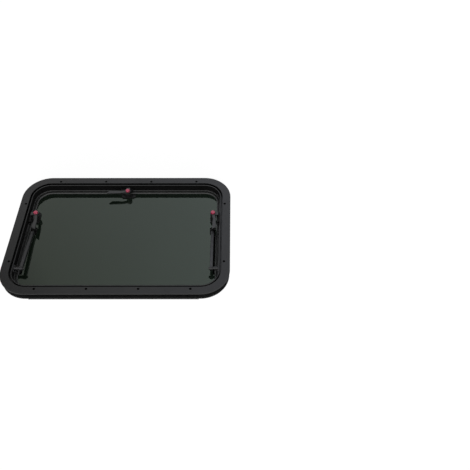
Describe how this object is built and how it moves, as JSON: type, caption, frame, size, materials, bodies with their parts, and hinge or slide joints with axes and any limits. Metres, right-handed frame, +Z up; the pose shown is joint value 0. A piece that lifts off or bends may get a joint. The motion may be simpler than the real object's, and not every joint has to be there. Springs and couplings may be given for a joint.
{
  "type": "caravan window",
  "caption": "Top-hung caravan window with a black clamped frame, dark tinted pane, push-button turning latches and telescopic stays.",
  "frame": {"origin": "on the wall-side face of the outer flange, in the middle of its bottom strip", "axes": "+X along the width, +Y from the room to the outside, +Z up"},
  "size_m": [0.65, 0.0395, 0.45],
  "materials": {
    "frame_black": "satin black powder coat on aluminium",
    "seal_rubber": "matt black rubber",
    "tinted_glass": "dark grey-green tinted glass",
    "fitting_black": "fine-grained black moulded plastic",
    "button_red": "glossy red moulded plastic",
    "stay_metal": "black anodised aluminium",
    "pin_steel": "blackened steel"
  },
  "bodies": {
    "window": {"outer_frame": "frame_black", "clamp_ring": "frame_black", "hinge_rail": "frame_black", "hinge_leaf": "frame_black", "sash_seal": "seal_rubber", "glass_pane": "tinted_glass", "left_hinge_cap": "fitting_black", "right_hinge_cap": "fitting_black", "bottom_latch_base": "fitting_black", "bottom_latch_keeper": "fitting_black", "left_latch_base": "fitting_black", "left_latch_keeper": "fitting_black", "right_latch_base": "fitting_black", "right_latch_keeper": "fitting_black", "left_stay_bracket": "stay_metal", "left_stay_tube": "stay_metal", "left_stay_rod": "stay_metal", "left_stay_foot": "stay_metal", "right_stay_bracket": "stay_metal", "right_stay_tube": "stay_metal", "right_stay_rod": "stay_metal", "right_stay_foot": "stay_metal", "left_stay_pin": "pin_steel", "left_foot_pin": "pin_steel", "right_stay_pin": "pin_steel", "right_foot_pin": "pin_steel"},
    "bottom_lever": {"bottom_latch_lever": "fitting_black"},
    "bottom_button": {"bottom_latch_button": "button_red"},
    "left_lever": {"left_latch_lever": "fitting_black"},
    "left_button": {"left_latch_button": "button_red"},
    "right_lever": {"right_latch_lever": "fitting_black"},
    "right_button": {"right_latch_button": "button_red"}
  },
  "joints": [
    {"name": "bottom_lever_turn", "type": "hinge", "parent": "window", "child": "bottom_lever", "pos_m": [0, 0, 0.0364], "axis": [0, -1, 0], "range_deg": [0, 90]},
    {"name": "bottom_button_press", "type": "slide", "parent": "bottom_lever", "child": "bottom_button", "axis": [0, 1, 0], "range_m": [0, 0.0024], "stiffness_N_per_m": 300},
    {"name": "left_lever_turn", "type": "hinge", "parent": "window", "child": "left_lever", "pos_m": [-0.2715, 0, 0.1289], "axis": [0, 1, 0], "range_deg": [0, 90]},
    {"name": "left_button_press", "type": "slide", "parent": "left_lever", "child": "left_button", "axis": [0, 1, 0], "range_m": [0, 0.0024], "stiffness_N_per_m": 300},
    {"name": "right_lever_turn", "type": "hinge", "parent": "window", "child": "right_lever", "pos_m": [0.2715, 0, 0.1289], "axis": [0, -1, 0], "range_deg": [0, 90]},
    {"name": "right_button_press", "type": "slide", "parent": "right_lever", "child": "right_button", "axis": [0, 1, 0], "range_m": [0, 0.0024], "stiffness_N_per_m": 300}
  ]
}
